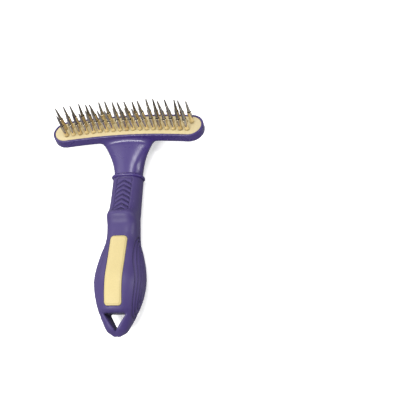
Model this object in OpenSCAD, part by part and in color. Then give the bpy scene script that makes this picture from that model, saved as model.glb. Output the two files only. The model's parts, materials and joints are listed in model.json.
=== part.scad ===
// Undercoat rake: a T-shaped grooming rake with two rows of turned steel pins.
// It lies on its back: pins up, head towards +Y, the flat of its back on Z = 0.

/* [Grip] */
// Length of the grip, from the collar to its end
grip_length = 113.4; // [94:0.1:137]
// Width of the grip across its belly
grip_width = 35.4; // [30:0.1:43.5]
// Width of the grip at its neck, under the collar
neck_width = 21.2; // [18:0.1:24]
// Depth of the grip through its belly, front to back
grip_depth = 30.8; // [25.5:0.1:37]
// Height that the thumb bump stands above the neck line
bump_height = 3.4; // [1:0.1:4.2]

/* [Thumb pad] */
// Width of the sunk thumb panel
pad_width = 11.7; // [9.5:0.1:13]
// Distance from the collar to the first end of the panel
pad_start = 2.2; // [2:0.1:4]
// Length of the sunk thumb panel
pad_length = 26.4; // [25.5:0.1:28]
// Depth of the sunk thumb panel
pad_sink = 0.6; // [0.3:0.05:0.9]
// Number of chevron ridges on the panel
chevron_count = 7; // [4:1:7]
// Distance from one chevron to the next
chevron_pitch = 3.64; // [3:0.01:3.7]
// Width of a chevron ridge, measured along the grip
chevron_band = 1.9; // [1:0.1:2.4]
// Angle at which a chevron's arms fall back from its point
chevron_angle = 29; // [20:1:35]

/* [Inlay] */
// Width of the inlay in the front of the grip
inlay_width = 12.2; // [9:0.1:15]
// Length of the inlay
inlay_length = 49.9; // [40:0.1:56]
// Thickness of the inlay
inlay_thickness = 2.2; // [1.2:0.1:3]
// Radius of the inlay's corners
inlay_corner = 2.5; // [0.5:0.1:4]
// Distance from the end of the grip to the inlay
inlay_to_end = 17; // [15:0.1:20]

/* [Hang hole] */
// Width of the hang hole, at its edge nearest the head
hole_width = 16.2; // [11:0.1:17]
// Length of the hang hole, along the grip
hole_length = 11.8; // [8:0.1:12.5]
// Distance from the end of the grip to the hang hole's point, at the front
hole_to_end = 0.9; // [0.6:0.1:4.5]
// Lean of the hang hole, which follows the slope of the grip's end
hole_lean = 10; // [0:0.5:14]
// Radius of the hang hole's corners
hole_corner = 1.1; // [0.5:0.1:1.4]

/* [Stem and collar] */
// Length of the stem, from the collar to the head's near wall
stem_length = 25.7; // [21:0.1:31]
// Width of the stem at the collar
stem_width = 20.3; // [18:0.1:24]
// Width of the stem where it meets the head
flare_width = 38.4; // [32:0.1:48]
// Depth of the stem at the collar
stem_depth = 16.4; // [14:0.1:19]
// Height that the collar bead stands out of the stem
bead_height = 1.4; // [0.8:0.1:2]
// Half the length of the collar bead along the stem
bead_half = 1.2; // [0.8:0.1:1.6]
// Width of the tang inside the grip
tang_width = 11; // [8:0.1:13]
// Depth of the tang inside the grip
tang_depth = 7; // [5:0.1:8]
// Distance that the tang stops short of the grip's end
tang_to_end = 22; // [20:0.5:40]

/* [Head] */
// Length of the head across the handle
head_length = 112.3; // [111:0.1:135]
// Distance from a row of pins to the head's long wall
row_margin = 6.55; // [5.4:0.05:7.9]
// Thickness of the head's back wall, behind the pin plate and its strip
back_wall = 3.3; // [2.6:0.1:4]
// Width of the rim round the pin plate
rim_width = 1.5; // [1:0.1:2.4]
// Height that the rim stands above the pin plate
rim_lip = 0.3; // [0.1:0.05:0.6]
// Distance that the ends of the head sweep back towards the grip
head_sweep = 4.4; // [0.5:0.1:6]
// Tilt of the head away from square to the grip
head_tilt = 18.8; // [8:0.1:26]
// Height of the pin face above the middle of the collar
head_rise = 11.1; // [10:0.1:13]
// Radius of the head's rounded back edge
head_round = 2.6; // [1:0.1:3]

/* [Pin plate] */
// Thickness of the pin plate
plate_thickness = 3.2; // [2.6:0.01:4]
// Thickness of the backing strip that closes the pin seats
strip_thickness = 0.9; // [0.6:0.1:1.4]
// Diameter of the pegs that fix the plate to the head
peg_diameter = 2.2; // [1.6:0.1:2.6]

/* [Pins] */
// Pins in the row nearest the grip
front_pins = 19; // [9:1:19]
// Pins in the far row
rear_pins = 20; // [10:1:20]
// Distance from the last pin of the far row to the end of the head
end_margin = 8.65; // [7.2:0.05:10.4]
// Distance between the two rows
row_gap = 7.3; // [6:0.01:8.8]
// Length of a pin above the plate
pin_length = 21.4; // [17.5:0.1:26]
// Diameter of a pin's lower barrel
pin_diameter = 3.1; // [2.5:0.01:3.75]
// Height of the barrel above the plate
barrel_height = 10.4; // [8.5:0.1:12.5]
// Depth of the groove where the barrel ends
groove_depth = 0.55; // [0.3:0.05:0.7]
// Height of that groove
groove_height = 0.45; // [0.3:0.05:0.8]
// How much narrower than the barrel the foot of the tapered point is
taper_step = 0.9; // [0.3:0.05:1.1]
// Diameter of the rounded tip
tip_diameter = 0.9; // [0.7:0.05:1.3]
// How far the flange that holds a pin in the plate stands out of the barrel
flange_reach = 0.45; // [0.3:0.05:0.5]
// Thickness of that flange
flange_thickness = 1; // [0.8:0.05:1.2]

/* [Clearances] */
// Gap round a pin in its bore
pin_clearance = 0.08; // [0.03:0.01:0.1]
// Gap above and below a pin's flange
flange_play = 0.06; // [0.03:0.01:0.12]
// Gap round a pin's flange
flange_clearance = 0.15; // [0.1:0.05:0.25]
// Gap round the plate, the inlay, the tang and the pegs
seat_gap = 0.05; // [0.03:0.01:0.12]

/* [Smoothness] */
// Points round the grip and the stem
ring_points = 32; // [24:4:40]
// Rings along the grip
grip_rings = 42; // [30:1:50]
// Steps along each long edge of the head
edge_steps = 24; // [16:1:32]
// Steps round each end of the head
end_steps = 12; // [8:1:16]

/* [Hidden] */
$fn = 48;
PINS_FRONT = [for (i = [1:front_pins]) str("pin_front_", i < 10 ? "0" : "", i)];
PINS_REAR = [for (i = [1:rear_pins]) str("pin_rear_", i < 10 ? "0" : "", i)];

PURPLE = [0.33, 0.27, 0.53];
SOFT_PURPLE = [0.36, 0.30, 0.54];
YELLOW = [0.93, 0.86, 0.62];
STEEL = [0.74, 0.75, 0.77];

// Half widths and depths
belly_half = grip_width / 2;
neck_half = neck_width / 2;
stem_half = stem_width / 2;
belly_front = 0.526 * grip_depth;
belly_back = belly_front - grip_depth;
stem_front = stem_depth / 2;
// Fullness of a cross-section, front and back: 2 is an ellipse, more is squarer
plain_fullness = 2.3;
back_fullness = 3;
stem_fullness = [plain_fullness, plain_fullness];

// Grip plan: how far the half width has gone from neck to belly, then from belly to nothing,
// against the share of the grip's length
GRIP_PLAN = [
    [0, neck_half],
    [0.27, neck_half + 0.04 * (belly_half - neck_half)],
    [0.41, neck_half + 0.14 * (belly_half - neck_half)],
    [0.5, neck_half + 0.54 * (belly_half - neck_half)],
    [0.59, neck_half + 0.88 * (belly_half - neck_half)],
    [0.68, belly_half],
    [0.775, 0.92 * belly_half],
    [0.865, 0.755 * belly_half],
    [0.957, 0.48 * belly_half],
    [0.985, 0.36 * belly_half],
    [1, 0.22 * belly_half]
];
// The thumb bump stands just past the thumb panel, and the front grows squarer beyond it
bump_past_pad = 2.2;
bump_at = pad_start + pad_length + bump_past_pad;
bump_spread = 4.2;
bump_fullness = 1.25;
fullness_past_bump = 4;
fullness_spread = 8;
// Front line of the grip, without the thumb bump
GRIP_FRONT = [
    [0, stem_front + 0.7],
    [0.12, stem_front + 2.5],
    [0.24, stem_front + 4],
    [0.34, stem_front + 3.1],
    [0.41, stem_front + 3.2],
    [0.56, 0.85 * belly_front],
    [0.7, belly_front],
    [0.86, 0.75 * belly_front],
    [0.9, 0.52 * belly_front],
    [0.97, 0.25 * belly_front],
    [1, 0.02 * belly_front]
];
// Back line of the grip
GRIP_BACK = [
    [0, -stem_front],
    [0.22, -stem_front - 0.3],
    [0.4, 0.74 * belly_back],
    [0.55, 0.93 * belly_back],
    [0.69, belly_back],
    [0.81, 0.92 * belly_back],
    [0.9, 0.66 * belly_back],
    [0.96, 0.5 * belly_back],
    [1, 0.36 * belly_back]
];
// Share of the stem's length at which its last ring lies, inside the head
stem_reach = 1.25;
// The stem's back line rises from the collar into the back of the head
STEM_BACK = [
    [0, -stem_front],
    [0.25, -stem_front + 1.4],
    [0.55, -stem_front + 5.6],
    [0.85, -stem_front + 9.8],
    [1.05, -stem_front + 11.8],
    [stem_reach, -stem_front + 14.6]
];

// Head
head_half = head_length / 2;
head_depth = row_gap + 2 * row_margin;
half_depth = head_depth / 2;
sweep_radius = head_half * head_half / (2 * head_sweep);
// How far below the pin face the stem's front runs into the head's near wall
wall_drop = 4.2;
// How far below the head's rise the stem's front line ends
stem_below = 0.7;
head_y = stem_length + half_depth * cos(head_tilt) + wall_drop * sin(head_tilt);
head_z = head_rise;
recess_depth = plate_thickness + strip_thickness + 2 * seat_gap;
back_face = -recess_depth - back_wall;
head_thickness = rim_lip - back_face;
// Overlap of two solids that are joined into one
weld = 0.1;
// Inside the head, the stem's front stays this far below the pin face
stem_under = recess_depth + weld;
peg_spots = [-2, -1, 0, 1, 2];
peg_past_ends = 4;
peg_spread = (head_half - half_depth + peg_past_ends) / 2;
peg_share = 0.6;
peg_length = strip_thickness + peg_share * back_wall;

// Pins
pin_pitch = (head_length - 2 * end_margin) / (rear_pins - 1);
groove_diameter = pin_diameter - 2 * groove_depth;
taper_diameter = pin_diameter - taper_step;
flange_diameter = pin_diameter + 2 * flange_reach;
groove_bevel = 0.25;

// Inlay
inlay_end = grip_length - inlay_to_end;
inlay_start = inlay_end - inlay_length;
inlay_sink = 0.2;

// Thumb panel: room beyond the ridges' arms, place of the first ridge, and the ridges' tops
chevron_margin = 0.8;
first_chevron = pad_start + 2.5;
chevron_below = 0.1;

// Where the tool's weight rests: on the flat of its belly and on its collar bead
belly_s = 0.69 * grip_length;
bead_tuck = 0.4;
collar_low = -stem_front - bead_height + bead_tuck;
rest_tilt = atan((collar_low - belly_back) / belly_s);

// Lengthwise ends of the tool once it lies down
tip_y = head_y + row_gap / 2 * cos(head_tilt) + (pin_length - tip_diameter / 2) * sin(head_tilt);
tip_z = head_z - row_gap / 2 * sin(head_tilt) + (pin_length - tip_diameter / 2) * cos(head_tilt);
far_end = tip_y * cos(rest_tilt) + tip_z * sin(rest_tilt) + tip_diameter / 2;
end_mid = (GRIP_FRONT[len(GRIP_FRONT) - 1][1] + GRIP_BACK[len(GRIP_BACK) - 1][1]) / 2;
near_end = -grip_length * cos(rest_tilt) + end_mid * sin(rest_tilt);
shift_y = -(far_end + near_end) / 2;
shift_z = -(collar_low * cos(rest_tilt));

// --- Curves and sections ---------------------------------------------------------------

// Slope of the curve through the points k at point i
function slope(k, i) =
    let (a = max(i - 1, 0))
    let (b = min(i + 1, len(k) - 1))
    (k[b][1] - k[a][1]) / (k[b][0] - k[a][0]);

// Index of the point that starts the span holding x
function span_of(k, x, i = 0) = (i >= len(k) - 2 || x < k[i + 1][0]) ? i : span_of(k, x, i + 1);

// Height at x of a smooth curve through the points k
function curve(k, x) =
    let (i = span_of(k, x))
    let (h = k[i + 1][0] - k[i][0])
    let (t = min(max((x - k[i][0]) / h, 0), 1))
    (2 * t * t * t - 3 * t * t + 1) * k[i][1]
    + (t * t * t - 2 * t * t + t) * h * slope(k, i)
    + (3 * t * t - 2 * t * t * t) * k[i + 1][1]
    + (t * t * t - t * t) * h * slope(k, i + 1);

// Rise of the thumb bump at distance s from the collar
function bump(s) = bump_height * exp(-pow((s - bump_at) / bump_spread, 2));

// Fullness of the grip at distance s: its front is squarer from the thumb bump on
function grip_fullness(s) =
    let (away = (s - bump_at - fullness_past_bump) / fullness_spread)
    [plain_fullness + bump_fullness * exp(-away * away), back_fullness];

function grip_half(s) = curve(GRIP_PLAN, s / grip_length);
function grip_front(s) = curve(GRIP_FRONT, s / grip_length) + bump(s);
function grip_back(s) = curve(GRIP_BACK, s / grip_length);

// Ring of points round a rounded cross-section that lies across the handle at y
function ring(y, half, front, back, fullness) = [
    for (j = [0:ring_points - 1])
    let (a = 360 * j / ring_points)
    let (n = 2 / (sin(a) >= 0 ? fullness[0] : fullness[1]))
    [
        half * sign(cos(a)) * pow(abs(cos(a)), n),
        y,
        (front + back) / 2 + (front - back) / 2 * sign(sin(a)) * pow(abs(sin(a)), n)
    ]
];

// Points round a polygon whose corners are rounded to radius r
function unit(v) = v / norm(v);
function corner_arc(a, b, c, r, steps) =
    let (u = unit(a - b))
    let (v = unit(c - b))
    let (half = acos(u * v) / 2)
    let (mid = b + unit(u + v) * r / sin(half))
    let (from = b + u * r / tan(half) - mid)
    let (to = b + v * r / tan(half) - mid)
    let (start = atan2(from[1], from[0]))
    let (turn = (atan2(to[1], to[0]) - start + 540) % 360 - 180)
    [for (i = [0:steps]) mid + r * [cos(start + turn * i / steps), sin(start + turn * i / steps)]];
function rounded(points, r, steps = 5) =
    let (n = len(points))
    [for (i = [0:n - 1]) each corner_arc(points[(i + n - 1) % n], points[i], points[(i + 1) % n], r, steps)];

// Outline of the head, drawn in by inset all round; its long edges follow the sweep
function sweep(x) = -x * x / (2 * sweep_radius);
function head_outline(inset) =
    let (r = half_depth - inset)
    let (c = head_half - half_depth)
    concat(
        [for (i = [0:end_steps])
            let (a = -90 + 180 * i / end_steps)
            [c + r * cos(a), sweep(c) + r * sin(a)]
        ],
        [for (i = [1:edge_steps - 1]) let (x = c - 2 * c * i / edge_steps) [x, sweep(x) + r]],
        [for (i = [0:end_steps])
            let (a = 90 + 180 * i / end_steps)
            [-c + r * cos(a), sweep(c) + r * sin(a)]
        ],
        [for (i = [1:edge_steps - 1]) let (x = -c + 2 * c * i / edge_steps) [x, sweep(x) - r]]
    );

// Solid through a list of rings that all have the same number of points
module loft(rings) {
    n = len(rings[0]);
    m = len(rings);
    polyhedron(
        points = [for (r = rings) each r],
        faces = concat(
            [[for (j = [0:n - 1]) j]],
            [[for (j = [n - 1:-1:0]) (m - 1) * n + j]],
            [for (i = [0:m - 2], j = [0:n - 1]) [i * n + j, (i + 1) * n + j, (i + 1) * n + (j + 1) % n]],
            [for (i = [0:m - 2], j = [0:n - 1]) [i * n + j, (i + 1) * n + (j + 1) % n, i * n + (j + 1) % n]]
        )
    );
}

// --- Frames ----------------------------------------------------------------------------

// Lays the tool down from the handle's own frame: collar centre at the origin, head
// towards +Y, pins towards +Z
module lay_down() {
    translate([0, shift_y, shift_z]) rotate([-rest_tilt, 0, 0]) children();
}

// Places children that are drawn on the pin face, with the face's outward side as +Z:
// in the handle's frame, and in the frame of the tool as it lies
module tilt_head() {
    translate([0, head_y, head_z]) rotate([-head_tilt, 0, 0]) children();
}
module on_head() {
    lay_down() tilt_head() children();
}

// Seat of pin i, counted from 1, in a row of count pins at distance d from the centre line
function pin_x(i, count) = (i - (count + 1) / 2) * pin_pitch;
module at_pin(i, count, d) {
    translate([pin_x(i, count), sweep(pin_x(i, count)) + d, 0]) children();
}

// --- Grip ------------------------------------------------------------------------------

// Distance from the collar of grip ring i; the rings gather towards the end
gathering = 1.4;
function ring_s(i) = bead_half + (grip_length - bead_half) * (1 - pow(1 - i / grip_rings, gathering));

module grip_body() {
    loft([
        for (i = [0:grip_rings])
        let (s = ring_s(i))
        ring(-s, grip_half(s), grip_front(s), grip_back(s), grip_fullness(s))
    ]);
}

// Slab across the grip that follows its front line between s0 and s1, from low to high above it
module front_slab(s0, s1, width, low, high) {
    steps = 20;
    rotate([90, 0, 90])
        linear_extrude(width, center = true)
            polygon(concat(
                [for (i = [0:steps]) let (s = s0 + (s1 - s0) * i / steps) [-s, grip_front(s) + low]],
                [for (i = [steps:-1:0]) let (s = s0 + (s1 - s0) * i / steps) [-s, grip_front(s) + high]]
            ));
}

// The inlay's shape, grown by gap on every side
module inlay_shape(gap, top) {
    half = inlay_width / 2 + gap;
    intersection() {
        front_slab(
            inlay_start - gap,
            inlay_end + gap,
            inlay_width + 2 * gap,
            -inlay_sink - inlay_thickness - gap,
            top
        );
        linear_extrude(2 * grip_depth)
            polygon(rounded([
                [-half, -inlay_start + gap],
                [half, -inlay_start + gap],
                [half, -inlay_end - gap],
                [-half, -inlay_end - gap]
            ], inlay_corner + gap));
    }
}

// The tang's shape, grown by gap on every side and running root past the collar
module tang_shape(gap, root) {
    length = grip_length - tang_to_end + gap;
    translate([-tang_width / 2 - gap, -length, -tang_depth / 2 - gap])
        cube([tang_width + 2 * gap, length + root, tang_depth + 2 * gap]);
}

module hang_hole() {
    edge = grip_length - hole_to_end - hole_length;
    translate([0, -edge, grip_front(edge)])
        rotate([hole_lean, 0, 0])
            translate([0, 0, -2 * grip_depth])
                linear_extrude(3 * grip_depth)
                    polygon(rounded([
                        [-hole_width / 2 - hole_corner, 0],
                        [0, -hole_length - hole_corner],
                        [hole_width / 2 + hole_corner, 0]
                    ], hole_corner));
}

// One V-shaped ridge with its point towards the head
module chevron(s) {
    half = pad_width / 2 - chevron_margin;
    drop = half * tan(chevron_angle);
    translate([0, -s, 0])
        linear_extrude(2 * grip_depth)
            polygon([
                [0, 0],
                [half, -drop],
                [half, -drop - chevron_band],
                [0, -chevron_band],
                [-half, -drop - chevron_band],
                [-half, -drop]
            ]);
}

module grip_sleeve() {
    pad_end = pad_start + pad_length;
    proud = 4;
    color(SOFT_PURPLE)
        lay_down()
            difference() {
                grip_body();
                tang_shape(seat_gap, 0);
                inlay_shape(seat_gap, proud);
                hang_hole();
                difference() {
                    front_slab(pad_start, pad_end, pad_width, -pad_sink, proud);
                    intersection() {
                        front_slab(pad_start, pad_end, pad_width, -2 * pad_sink, -chevron_below);
                        union() {
                            for (i = [0:chevron_count - 1]) chevron(first_chevron + i * chevron_pitch);
                        }
                    }
                }
            }
}

module grip_inlay() {
    color(YELLOW) lay_down() inlay_shape(0, -inlay_sink);
}

// --- Chassis: head tray, stem, collar bead and tang, moulded in one ----------------------

// Stem ring at distance y from the collar
function stem_ring(y) =
    let (t = y / stem_length)
    let (face = head_z - (stem_under + (y - head_y) * sin(head_tilt)) / cos(head_tilt))
    ring(
        y,
        stem_half + (flare_width / 2 - stem_half) * pow(min(t, 1), 2),
        min(stem_front + (head_rise - stem_below - stem_front) * t, y > stem_length ? face : head_rise),
        curve(STEM_BACK, t),
        stem_fullness
    );

// Bead ring at angle a round the bead's half-round edge
function bead_ring(a) =
    let (out = bead_height * cos(a))
    let (front = stem_front + out - bead_tuck)
    ring(bead_half * sin(a), stem_half + out, front, -front, stem_fullness);

// The collar bead and the stem are one surface, from the collar's lower face into the head
module stem() {
    steps = 12;
    first = 1.6;
    loft(concat(
        [for (i = [steps:-1:0]) stem_ring(first + (stem_reach * stem_length - first) * i / steps)],
        [for (a = [60:-30:-90]) bead_ring(a)]
    ));
}

// Head block with a rounded back edge and a softened rim
module head_block() {
    steps = 4;
    soft = 0.5;
    loft(concat(
        [for (i = [0:steps])
            let (a = 90 * i / steps)
            let (height = back_face + head_round * (1 - cos(a)))
            [for (p = head_outline(head_round * (1 - sin(a)))) [p[0], p[1], height]]
        ],
        [[for (p = head_outline(0)) [p[0], p[1], rim_lip - soft]]],
        [[for (p = head_outline(soft)) [p[0], p[1], rim_lip]]]
    ));
}

// Pegs under the pin plate, grown by gap on every side and running a little way into the plate
module pegs(gap) {
    root = 0.5;
    for (k = peg_spots)
        translate([k * peg_spread, sweep(k * peg_spread), -plate_thickness - peg_length - gap])
            cylinder(h = peg_length + gap + root, d = peg_diameter + 2 * gap);
}

// The stem and the head block as one skin, whose length across stays the head's own
module outer_skin() {
    resize([head_length, 0, 0])
        union() {
            stem();
            tilt_head() head_block();
        }
}

module chassis() {
    tang_root = 4;
    color(PURPLE)
        difference() {
            union() {
                lay_down() outer_skin();
                lay_down() tang_shape(0, tang_root);
            }
            on_head() translate([0, 0, -recess_depth])
                linear_extrude(recess_depth + head_thickness) polygon(head_outline(rim_width));
            on_head() pegs(seat_gap);
        }
}

// --- Pin plate, backing strip and pins ---------------------------------------------------

// Bore for a pin, and the wider seat behind it for the pin's flange
module pin_seats() {
    past = 1;
    seat_depth = flange_thickness + 2 * flange_play;
    translate([0, 0, -plate_thickness - past])
        cylinder(h = plate_thickness + 2 * past, d = pin_diameter + 2 * pin_clearance);
    translate([0, 0, -plate_thickness - past])
        cylinder(h = past + seat_depth, d = flange_diameter + 2 * flange_clearance);
}

module pin_plate() {
    color(YELLOW)
        on_head()
            difference() {
                union() {
                    translate([0, 0, -plate_thickness])
                        linear_extrude(plate_thickness) polygon(head_outline(rim_width + seat_gap));
                    pegs(0);
                }
                for (i = [1:front_pins]) at_pin(i, front_pins, -row_gap / 2) pin_seats();
                for (i = [1:rear_pins]) at_pin(i, rear_pins, row_gap / 2) pin_seats();
            }
}

module backing_strip() {
    color("dimgray")
        on_head()
            difference() {
                translate([0, 0, -plate_thickness - strip_thickness])
                    linear_extrude(strip_thickness) polygon(head_outline(rim_width + seat_gap));
                pegs(seat_gap);
            }
}

// A turned pin: flange, barrel, groove, tapered point and rounded tip
module pin() {
    low = -plate_thickness + flange_play;
    tip = tip_diameter / 2;
    tip_steps = 6;
    groove_top = barrel_height + groove_height;
    rotate_extrude()
        polygon(concat(
            [
                [0, low],
                [flange_diameter / 2, low],
                [flange_diameter / 2, low + flange_thickness],
                [pin_diameter / 2, low + flange_thickness],
                [pin_diameter / 2, barrel_height - groove_bevel],
                [pin_diameter / 2 - groove_bevel, barrel_height],
                [groove_diameter / 2, barrel_height],
                [groove_diameter / 2, groove_top],
                [taper_diameter / 2, groove_top]
            ],
            [for (i = [0:tip_steps])
                let (a = 90 * i / tip_steps)
                [tip * cos(a), pin_length - tip + tip * sin(a)]
            ]
        ));
}

module row_pin(i, count, d) {
    color(STEEL) on_head() at_pin(i, count, d) pin();
}

chassis();
grip_sleeve();
grip_inlay();
pin_plate();
backing_strip();
for (i = [1:front_pins])
    row_pin(i, front_pins, -row_gap / 2);
for (i = [1:rear_pins])
    row_pin(i, rear_pins, row_gap / 2);
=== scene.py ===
"""Undercoat rake, finished: grip, inlay, head, pin plate and two rows of turned steel pins.

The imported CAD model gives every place. Shapes are worked out in millimetres in the handle's own
frame: X across the head, +Y from the collar towards the head, +Z out of the pin side, with the
collar's centre as the origin. A tilt and a shift then lay them down in the row frame, in metres.
"""

import json
import logging
import math
from collections.abc import Callable
from dataclasses import dataclass
from enum import Enum

import bpy
import numpy as np
from mathutils import Euler, Matrix, Vector


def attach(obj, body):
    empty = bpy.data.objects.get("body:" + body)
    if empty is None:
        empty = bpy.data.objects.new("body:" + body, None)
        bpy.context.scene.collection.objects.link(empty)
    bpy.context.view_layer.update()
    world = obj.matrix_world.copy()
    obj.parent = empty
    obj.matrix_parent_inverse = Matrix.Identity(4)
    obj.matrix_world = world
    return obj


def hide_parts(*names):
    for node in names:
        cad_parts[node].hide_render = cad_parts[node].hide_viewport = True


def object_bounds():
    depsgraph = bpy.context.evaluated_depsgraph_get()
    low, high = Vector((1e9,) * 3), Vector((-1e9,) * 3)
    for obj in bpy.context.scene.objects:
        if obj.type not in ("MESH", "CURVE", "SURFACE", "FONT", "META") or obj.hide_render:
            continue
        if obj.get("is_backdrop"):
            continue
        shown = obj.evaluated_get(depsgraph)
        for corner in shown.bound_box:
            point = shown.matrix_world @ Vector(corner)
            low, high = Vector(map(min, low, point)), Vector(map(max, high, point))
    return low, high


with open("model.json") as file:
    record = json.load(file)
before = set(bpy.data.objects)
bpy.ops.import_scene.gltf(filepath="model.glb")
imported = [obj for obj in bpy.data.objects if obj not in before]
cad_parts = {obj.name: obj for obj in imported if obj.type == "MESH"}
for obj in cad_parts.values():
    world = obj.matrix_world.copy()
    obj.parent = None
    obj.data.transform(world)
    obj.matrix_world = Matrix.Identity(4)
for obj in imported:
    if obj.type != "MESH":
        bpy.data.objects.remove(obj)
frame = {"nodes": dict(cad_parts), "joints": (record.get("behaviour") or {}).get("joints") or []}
CAD_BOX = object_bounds()

RAKE = "rake"
MM = 0.001
LOG = logging.getLogger("rake")

TINY = 1e-6

Array = np.ndarray
Socket = bpy.types.NodeSocket
Field = Callable[[Array, Array, Array], Array]
Pair = tuple[float, float]
Triple = tuple[float, float, float]
Finishes = dict[str, bpy.types.Material]
Pieces = list[bpy.types.Object]


# --- Small geometry helpers ---


def smooth_max(a: Array, b: Array, width: float) -> Array:
    """Larger of two distances, blended where they differ by less than width."""
    share = np.maximum(width - np.abs(a - b), 0) / width
    return np.maximum(a, b) + share * share * width / 4


def smooth_min(a: Array, b: Array, width: float) -> Array:
    """Smaller of two distances, blended where they differ by less than width."""
    return -smooth_max(-a, -b, width)


def round_corner(a: Array, b: Array, radius: float) -> Array:
    """Distance to the common part of two solids, with a true quarter-round edge."""
    inside = np.minimum(np.maximum(a, b) + radius, 0)
    return inside + np.hypot(np.maximum(a + radius, 0), np.maximum(b + radius, 0)) - radius


def smooth_step(value: Array, low: float, high: float) -> Array:
    """Rises smoothly from 0 at low to 1 at high."""
    t = np.clip((value - low) / (high - low), 0, 1)
    return t * t * (3 - 2 * t)


def span(low: float, high: float) -> Pair:
    """Middle and half length of a stretch."""
    return (low + high) / 2, (high - low) / 2


def rounded_box(x: Array, y: Array, half_x: float, half_y: float, corner: float) -> Array:
    """Distance to a flat rectangle with rounded corners, centred on the origin.

    Args:
        x: Places across.
        y: Places along.
        half_x: Half the width.
        half_y: Half the length.
        corner: Radius of its corners.

    Returns:
        The distance, below zero inside.
    """
    dx = np.abs(x) - half_x + corner
    dy = np.abs(y) - half_y + corner
    return np.hypot(np.maximum(dx, 0), np.maximum(dy, 0)) + np.minimum(np.maximum(dx, dy), 0) - corner


@dataclass(frozen=True)
class Profile:
    """Smooth curve through a few (place, height) points."""

    points: tuple[Pair, ...]

    def at(self, place: Array) -> Array:
        """Height of the curve.

        Args:
            place: Places along the curve; beyond its ends the end height holds.

        Returns:
            The heights at those places.
        """
        xs, ys = np.array(self.points, float).T
        order = np.arange(len(xs))
        before = np.maximum(order - 1, 0)
        after = np.minimum(order + 1, len(xs) - 1)
        slopes = (ys[after] - ys[before]) / (xs[after] - xs[before])
        i = np.clip(np.searchsorted(xs, place, side="right") - 1, 0, len(xs) - 2)
        span = xs[i + 1] - xs[i]
        t = np.clip((place - xs[i]) / span, 0, 1)
        near = (2 * t**3 - 3 * t**2 + 1) * ys[i] + (t**3 - 2 * t**2 + t) * span * slopes[i]
        far = (3 * t**2 - 2 * t**3) * ys[i + 1] + (t**3 - t**2) * span * slopes[i + 1]
        return near + far


@dataclass(frozen=True)
class Section:
    """Rounded cross-section: half width, front and back line, and how full each side is."""

    half: Array
    front: Array
    back: Array
    full_front: float = 2.3
    full_back: float = 2.3

    def distance(self, x: Array, z: Array) -> Array:
        """Distance to the section within its own plane.

        Args:
            x: Places across.
            z: Places through the depth.

        Returns:
            The distance, below zero inside.
        """
        middle = (self.front + self.back) / 2
        thinnest = 0.05
        depth = np.maximum((self.front - self.back) / 2, thinnest)
        power = np.where(z >= middle, self.full_front, self.full_back)
        u = np.abs(x) / self.half
        v = np.abs(z - middle) / depth
        reach = np.maximum((u**power + v**power) ** (1 / power), TINY)
        slope = np.hypot((u / reach) ** (power - 1) / self.half, (v / reach) ** (power - 1) / depth)
        return (reach - 1) / slope


# --- Where the tool lies ---


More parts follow.
